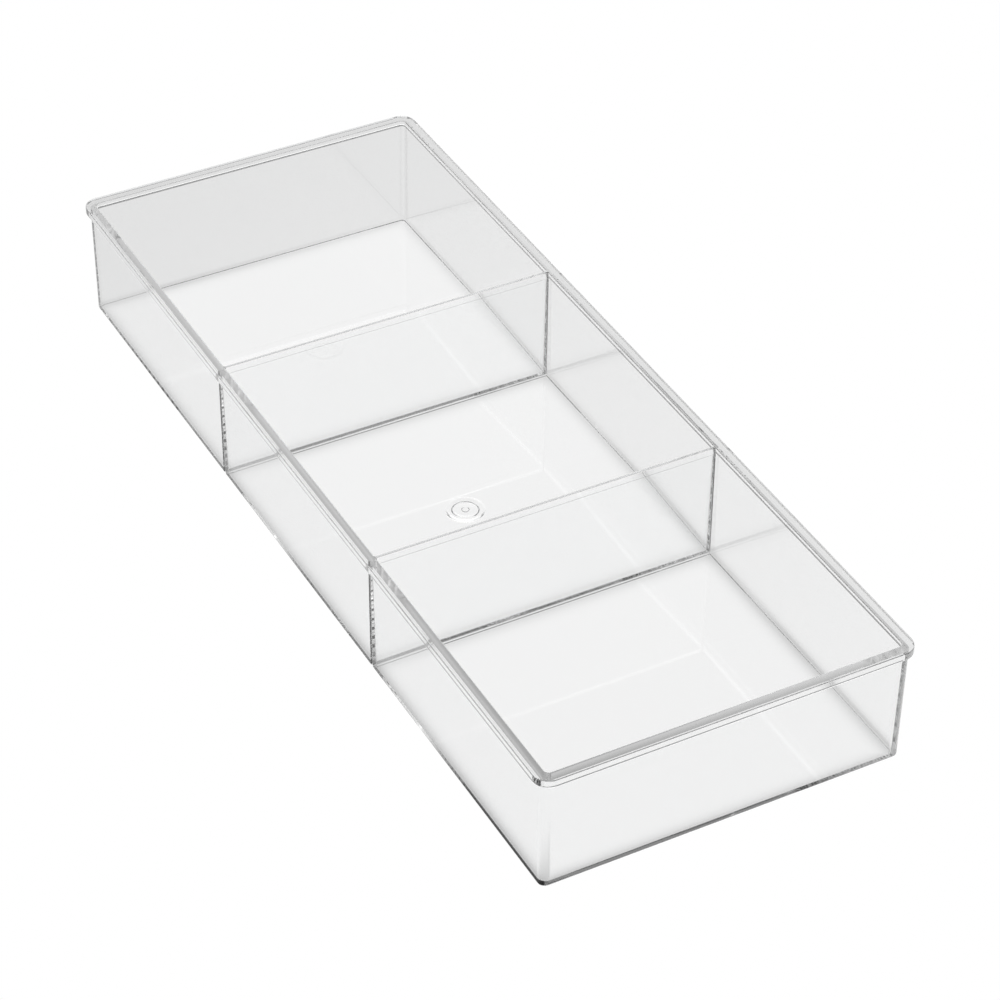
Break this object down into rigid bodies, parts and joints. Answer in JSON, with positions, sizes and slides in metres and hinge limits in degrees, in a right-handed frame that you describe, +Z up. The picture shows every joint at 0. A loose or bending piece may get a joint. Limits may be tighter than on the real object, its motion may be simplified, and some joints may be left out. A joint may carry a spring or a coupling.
{
  "type": "drawer organizer insert",
  "caption": "Clear moulded plastic drawer organizer insert: a long open tray with a turned-out lip, cross dividers and rounded corners.",
  "frame": {"origin": "centre of the underside, on the plane that the tray stands on", "axes": "+X across the width, +Y along the length towards the rear compartment, +Z up out of the open top"},
  "size_m": [0.1456, 0.381, 0.0494],
  "materials": {
    "clear_plastic": "polished clear"
  },
  "bodies": {
    "root": {"divider_front": "clear_plastic", "divider_rear": "clear_plastic", "end_wall_front": "clear_plastic", "end_wall_rear": "clear_plastic", "floor_front": "clear_plastic", "floor_middle": "clear_plastic", "floor_rear": "clear_plastic", "left_wall_front": "clear_plastic", "left_wall_middle": "clear_plastic", "left_wall_rear": "clear_plastic", "right_wall_front": "clear_plastic", "right_wall_middle": "clear_plastic", "right_wall_rear": "clear_plastic", "rim_front": "clear_plastic", "rim_left": "clear_plastic", "rim_rear": "clear_plastic", "rim_right": "clear_plastic"}
  },
  "joints": []
}
